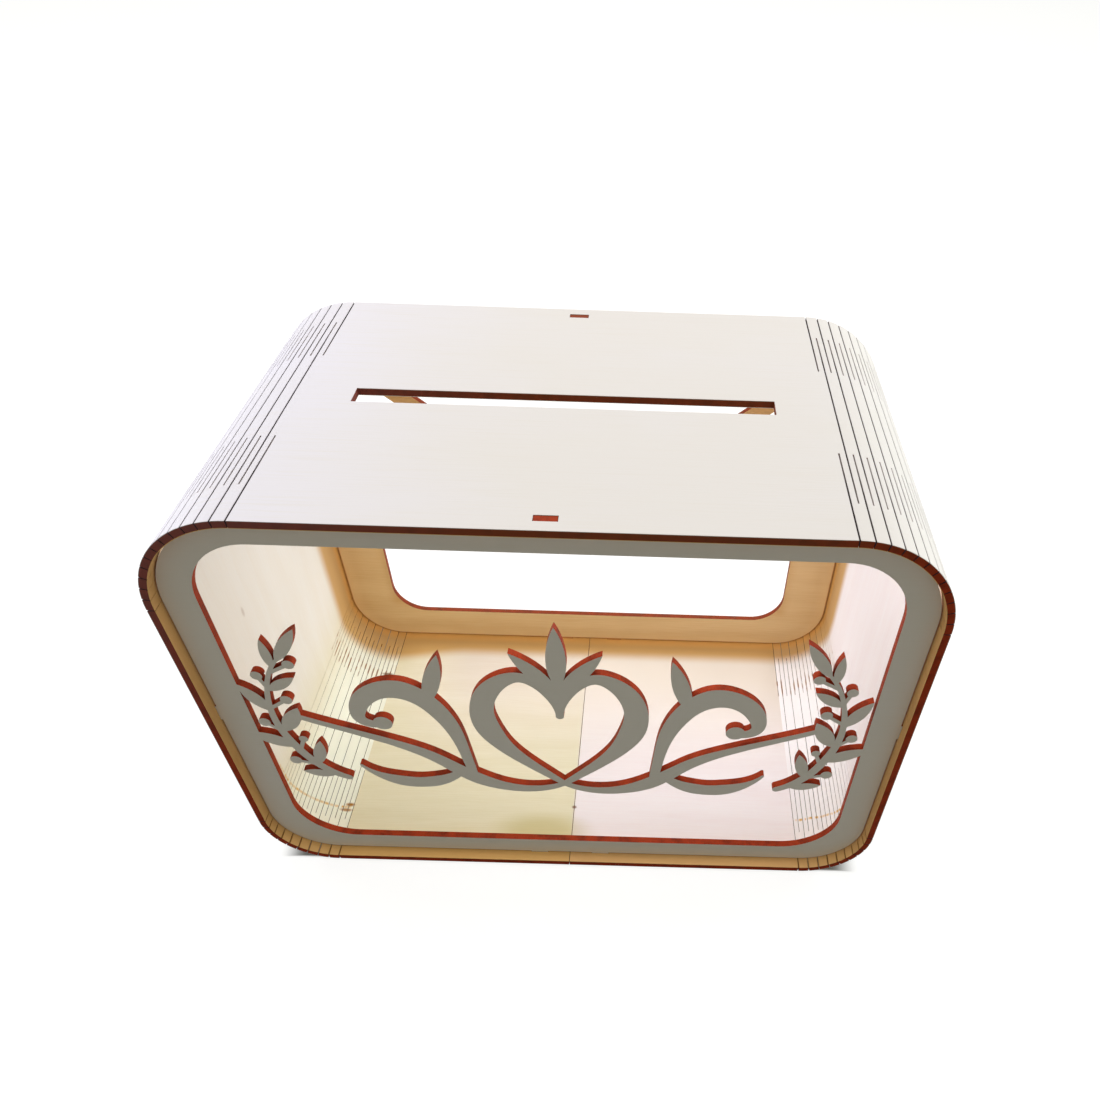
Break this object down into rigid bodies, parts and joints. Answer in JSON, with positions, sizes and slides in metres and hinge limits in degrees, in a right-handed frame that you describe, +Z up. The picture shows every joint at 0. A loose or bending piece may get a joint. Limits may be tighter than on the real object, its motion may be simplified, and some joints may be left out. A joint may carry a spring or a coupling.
{
  "type": "wedding card box",
  "caption": "Rounded plywood box for wedding cards: a slit-bent band with a card slot in its top, an open ornamental front frame and an open back frame.",
  "frame": {"origin": "middle of the box's footprint, on the surface it stands on", "axes": "+X to the right along the width, +Y from the front to the back, +Z up"},
  "size_m": [0.28, 0.16, 0.2],
  "materials": {
    "band_plywood": "white matt outside, raw basswood inside, laser-browned cut edges",
    "front_plywood": "white matt front, raw basswood back, laser-browned cut edges",
    "back_plywood": "raw basswood inside, white matt back, laser-browned cut edges"
  },
  "bodies": {
    "root": {"wrap_band": "band_plywood", "front_frame": "front_plywood", "back_frame": "back_plywood"}
  },
  "joints": []
}
